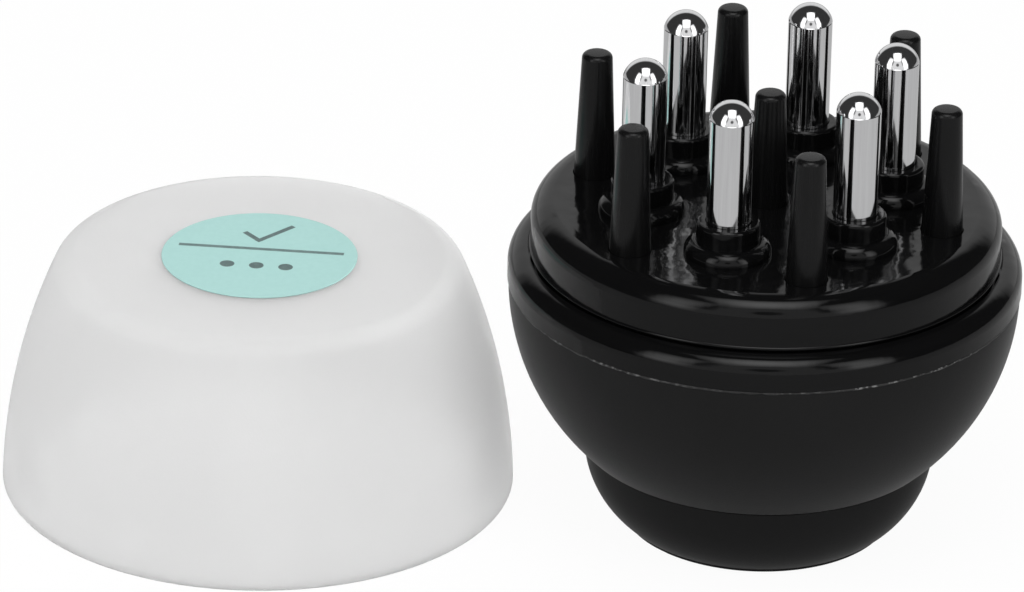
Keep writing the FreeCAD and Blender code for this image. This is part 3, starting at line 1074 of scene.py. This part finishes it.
@dataclass
class DustCap(SubAssembly):
    """The frosted cover with its bowed side, thick lip and round label."""

    finish: FrostedPlastic = FrostedPlastic()
    taper: float = 7.4 * MM
    bulge: float = 1.65 * MM
    wall: float = 1.5 * MM
    corner: float = 3.2 * MM
    edge: float = 0.4 * MM
    lip_bore: float = 29.95 * MM
    lip_height: float = 3.0 * MM
    lip_slope: float = 7.0 * MM
    gate_radius: float = 1.6 * MM
    gate_height: float = 0.35 * MM
    crease: float = 35.0
    steps: int = 192
    side_steps: int = 28
    corner_steps: int = 14
    inner_corner_steps: int = 8
    lip_steps: int = 6
    label_edge: float = 0.05 * MM
    label_crease: float = 30.0
    cap: Optional[bpy.types.Object] = None
    label: Optional[bpy.types.Object] = None

    def cap_outline(self, radius: float, height: float) -> Outline:
        """The half section of the cap about its own axis.

        Args:
            radius: The radius of its foot.
            height: From the table to its top.

        Returns:
            The outline, from the gate mark inside, round the lip, to the middle of the top.
        """
        foot = Vector((radius, 0.0))
        along = Vector((radius - self.taper, height)) - foot
        outward = Vector((along.y, -along.x)).normalized()
        bow = (along.length**2 / 4 + self.bulge**2) / (2 * self.bulge)
        middle = foot + along / 2 + outward * (self.bulge - bow)
        corner_height = height - self.corner
        reach = math.sqrt((bow - self.corner) ** 2 - (corner_height - middle.y) ** 2)
        corner = (middle.x + reach, corner_height)
        meet = math.atan2(corner_height - middle.y, reach)
        inner_bow = bow - self.wall
        slope_top = self.lip_height + self.lip_slope
        inner_foot = math.asin((slope_top - middle.y) / inner_bow)
        outer_foot = math.asin((self.edge - middle.y) / bow)
        foot_radius = middle.x + bow * math.cos(outer_foot)
        ceiling = height - self.wall
        half = Outline().to(0.0, ceiling - self.gate_height)
        half.to(self.gate_radius, ceiling - self.gate_height).to(self.gate_radius, ceiling)
        half.arc(corner, self.corner - self.wall, QUARTER_TURN, meet, self.inner_corner_steps)
        half.arc(tuple(middle), inner_bow, meet, inner_foot, self.side_steps)
        half.to(self.lip_bore, self.lip_height)
        inner_edge = (self.lip_bore + self.edge, self.edge)
        outer_edge = (foot_radius - self.edge, self.edge)
        half.arc(inner_edge, self.edge, math.pi, math.pi + QUARTER_TURN, self.lip_steps)
        half.arc(outer_edge, self.edge, -QUARTER_TURN, 0.0, self.lip_steps)
        half.arc(tuple(middle), bow, outer_foot, meet, self.side_steps)
        half.arc(corner, self.corner, meet, QUARTER_TURN, self.corner_steps)
        return half.to(0.0, height)

    def build(self) -> None:
        """Models the cap and the label that lies on its top."""
        low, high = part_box("dust_cap")
        axis = self.axis_of("dust_cap")
        outline = self.cap_outline((high.x - low.x) / 2, high.z - low.z)
        self.cap = Bench.turned(CAP_NAME, outline, (axis.x, axis.y), self.steps)
        Bench.softened(self.cap, 0.0, self.crease)
        self.stand_for(self.cap, "dust_cap")
        low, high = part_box("cap_label")
        radius = (high.x - low.x) / 2
        disc = Outline().to(0.0, low.z).to(radius - self.label_edge, low.z)
        disc.to(radius, low.z + self.label_edge).to(radius, high.z - self.label_edge)
        disc.to(radius - self.label_edge, high.z).to(0.0, high.z)
        self.label = Bench.turned(LABEL_NAME, disc, (axis.x, axis.y), self.steps)
        Bench.softened(self.label, 0.0, self.label_crease)
        self.stand_for(self.label, "cap_label")

    def dress(self) -> None:
        """Frosts the cap and prints the label."""
        self.paint(self.cap, self.finish)
        low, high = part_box("cap_label")
        radius = (high.x - low.x) / 2
        self.paint(self.label, PrintedLabel(centre=tuple((low + high) / 2), radius=radius))


@dataclass(frozen=True)
class Softbox:
    """One soft studio lamp, brighter in its middle than at its edge."""

    name: str
    place: tuple[float, float, float]
    size: Point
    radiance: float
    edge_share: float = 0.1
    middle_mean: float = 4 / 9
    aim: tuple[float, float, float] = (0.0, 0.0, 0.04)
    only_for: tuple[str, ...] = ()

    @classmethod
    def for_cap(cls, name: str, place: tuple[float, float, float], radiance: float) -> "Softbox":
        """A side lamp that lights only the cap and its label, past what stands beside them.

        Args:
            name: The lamp's name.
            place: Where it hangs.
            radiance: How bright its face is.

        Returns:
            The lamp.
        """
        pieces = (CAP_NAME, LABEL_NAME)
        return cls(name, place, (0.5, 0.3), radiance, aim=CAP_MIDDLE, only_for=pieces)

    def shade(self, tree: bpy.types.NodeTree) -> None:
        """Lets the lamp's light fall off from its middle, at the same mean."""
        sheet = NodeSheet(tree)
        spot = sheet.out(sheet.node("NewGeometry"), "Parametric")
        axes = sheet.node("SeparateXYZ", None, {0: spot})
        across, along = (sheet.out(axes, index) * 2 - 1 for index in range(2))
        middle = (1 - across * across) * (1 - along * along)
        mean_share = self.edge_share + (1 - self.edge_share) * self.middle_mean
        strength = sheet.between(middle, (self.edge_share, 1.0)) / mean_share
        glow = sheet.node("Emission", None, {"Strength": strength})
        sheet.node("OutputLight", None, {"Surface": sheet.out(glow)})

    def keep_to_pieces(self, holder: bpy.types.Object) -> None:
        """Lets the lamp light only the pieces that it is for, and lets only these shade it."""
        pieces = bpy.data.collections.new(self.name + "_pieces")
        for name in self.only_for:
            pieces.objects.link(bpy.data.objects[name])
        holder.light_linking.receiver_collection = pieces
        holder.light_linking.blocker_collection = pieces

    def build(self) -> None:
        """Hangs the lamp and turns it to what it lights."""
        lamp = bpy.data.lights.new(self.name, "AREA")
        lamp.shape = "RECTANGLE"
        lamp.size, lamp.size_y = self.size
        lamp.energy = self.radiance * math.pi * self.size[0] * self.size[1]
        lamp.use_nodes = True
        self.shade(lamp.node_tree)
        holder = bpy.data.objects.new(self.name, lamp)
        holder.visible_camera = False
        holder.location = self.place
        way = Vector(self.aim) - Vector(self.place)
        holder.rotation_euler = way.to_track_quat("-Z", "Y").to_euler()
        bpy.context.scene.collection.objects.link(holder)
        if self.only_for:
            self.keep_to_pieces(holder)
        LOG.info("%s hangs at %s", self.name, self.place)


@dataclass
class Studio:
    """The pale table, the soft lamps, the white surroundings and the photograph's camera."""

    table_size: float = 14.0
    table_drop: float = 0.02 * MM
    table_pale: Colour = (0.9, 0.9, 0.9)
    table_dull: Colour = (0.86, 0.86, 0.86)
    table_mirrored: Colour = (0.4, 0.4, 0.4)
    table_cloud: float = 30.0
    plain_share: float = 0.95
    mirrored_share: float = 0.2
    backdrop_light: float = 0.75
    backdrop_width: float = 0.7
    backdrop_height: float = 0.66
    backdrop_fade: Span = (0.4, 0.6)
    front_light: float = 0.85
    belt_width: Span = (0.72, 0.85)
    belt_height: Span = (0.3, 0.42)
    sheet_width: Span = (0.55, 0.66)
    sheet_height: Span = (0.7, 0.8)
    sheet_lean: float = 0.45
    lens_height: float = 0.434
    lens_stops: tuple[Point, ...] = ((0.008, 0.1), (0.024, 1.0))
    room_light: float = 0.04
    fill_light: float = 0.6
    target: tuple[float, float, float] = (-31.88 * MM, 0.0, 29.86 * MM)
    distance: float = 1.042
    elevation: float = 25.73
    roll: float = 1.2
    lens: float = 289.0
    sensor: float = 36.0
    sight: float = 100.0
    lamps: tuple[Softbox, ...] = (
        Softbox("lamp_over", (0.0, -0.4, 1.05), (0.74, 0.9), 2.3),
        Softbox("lamp_front_left", (-0.7, -0.7, 0.6), (0.5, 1.1), 1.5),
        Softbox("lamp_front_right", (0.7, -0.7, 0.6), (0.5, 1.1), 1.5),
        Softbox.for_cap("lamp_cap_left", (-0.91, 0.32, 0.16), 2.8),
        Softbox.for_cap("lamp_cap_right", (0.73, 0.43, 0.16), 13.0),
    )

    def seen(self, sheet: NodeSheet, *rays: Ray) -> Wire:
        """One for the named kinds of ray and zero for all others."""
        path = sheet.node("LightPath")
        wires = [sheet.out(path, ray.value) for ray in rays]
        total = wires[0]
        for wire in wires[1:]:
            total = total | wire
        return total

    def build_table(self) -> None:
        """Lays a large plain table, which is white to look at and keeps the object's shadow."""
        Bench.clear()
        place = (0.0, 0.0, -self.table_drop)
        bpy.ops.mesh.primitive_plane_add(size=self.table_size, location=place)
        table = bpy.context.object
        table.name = "studio_table"
        made = bpy.data.materials.new("studio_white")
        made.use_nodes = True
        sheet = NodeSheet(made.node_tree)
        cloud = sheet.noise(self.table_cloud, detail=3.0)
        colour = sheet.mixed(cloud, self.table_pale, self.table_dull)
        colour = sheet.mixed(self.seen(sheet, Ray.GLOSSY), colour, self.table_mirrored)
        cloth = sheet.out(sheet.node("BsdfDiffuse", None, {"Color": colour}))
        plain = sheet.out(sheet.node("Emission", None, {"Strength": 1.0}))
        looked_at = self.seen(sheet, Ray.CAMERA, Ray.THROUGH) * self.plain_share
        share = looked_at | self.seen(sheet, Ray.GLOSSY) * self.mirrored_share
        mixed = sheet.node("MixShader", None, {0: share, 1: cloth, 2: plain})
        sheet.node("OutputMaterial", None, {"Surface": sheet.out(mixed)})
        table.data.materials.append(made)

    def build_surroundings(self) -> None:
        """Surrounds the table with white.

        Behind it is a round backdrop. In front are a low belt and a taller sheet, which narrows
        upwards, with the dark of a lens in its middle. Only glossy rays see these shapes.
        """
        world = bpy.data.worlds.new("studio_air")
        bpy.context.scene.world = world
        world.use_nodes = True
        sheet = NodeSheet(world.node_tree)
        way = sheet.out(sheet.node("TexCoord"), "Generated")
        axes = sheet.node("SeparateXYZ", None, {0: way})
        x, y, z = (sheet.out(axes, index) for index in range(3))
        across = x / self.backdrop_width
        above = z / self.backdrop_height
        off_middle = (across * across + above * above) / 2
        behind = sheet.fade(off_middle, self.backdrop_fade) * (y > 0)
        belt = sheet.fade(abs(x), self.belt_width) * sheet.fade(z, self.belt_height)
        leaning = abs(x) + z * self.sheet_lean
        tall = sheet.fade(leaning, self.sheet_width) * sheet.fade(z, self.sheet_height)
        over = z - self.lens_height
        lens = sheet.ramp(x * x + over * over, self.lens_stops)
        front = (belt | tall) * lens * (y < 0)
        air = (behind * self.backdrop_light | front * self.front_light) + self.room_light
        fill = (self.fill_light, self.fill_light, self.fill_light)
        lit = sheet.mixed(self.seen(sheet, Ray.GLOSSY), fill, air)
        colour = sheet.mixed(self.seen(sheet, Ray.CAMERA, Ray.THROUGH), lit, (1.0, 1.0, 1.0))
        shader = sheet.node("Background", None, {"Color": colour, "Strength": 1.0})
        sheet.node("OutputWorld", None, {"Surface": sheet.out(shader)})

    def build_camera(self) -> None:
        """Sets the camera at the photograph's angle, with its slight roll."""
        rise = math.radians(self.elevation)
        lean = math.radians(self.roll)
        back = Vector((0.0, -math.cos(rise), math.sin(rise)))
        level = Vector((1.0, 0.0, 0.0))
        upright = back.cross(level)
        right = level * math.cos(lean) + upright * math.sin(lean)
        data = bpy.data.cameras.new("photo_camera")
        data.lens = self.lens
        data.sensor_width = self.sensor
        data.clip_end = self.sight
        camera = bpy.data.objects.new("photo_camera", data)
        turn = Matrix((right, back.cross(right), back)).transposed()
        stand = Vector(self.target) + back * self.distance
        camera.matrix_world = Matrix.Translation(stand) @ turn.to_4x4()
        bpy.context.scene.collection.objects.link(camera)
        bpy.context.scene.camera = camera

    def build(self) -> None:
        """Sets up table, surroundings, lamps and camera."""
        self.build_table()
        self.build_surroundings()
        for lamp in self.lamps:
            lamp.build()
        self.build_camera()
        bpy.context.scene.view_settings.view_transform = "Standard"


def main() -> None:
    """Builds and dresses the sub-assemblies in order, then the studio round them."""
    logging.basicConfig(level=logging.INFO, format="%(name)s: %(message)s")
    for part in (Reservoir(), Head(), CombTeeth(), SprungPins(), DustCap()):
        part.build()
        part.dress()
    Studio().build()


if __name__ == "__main__":
    main()
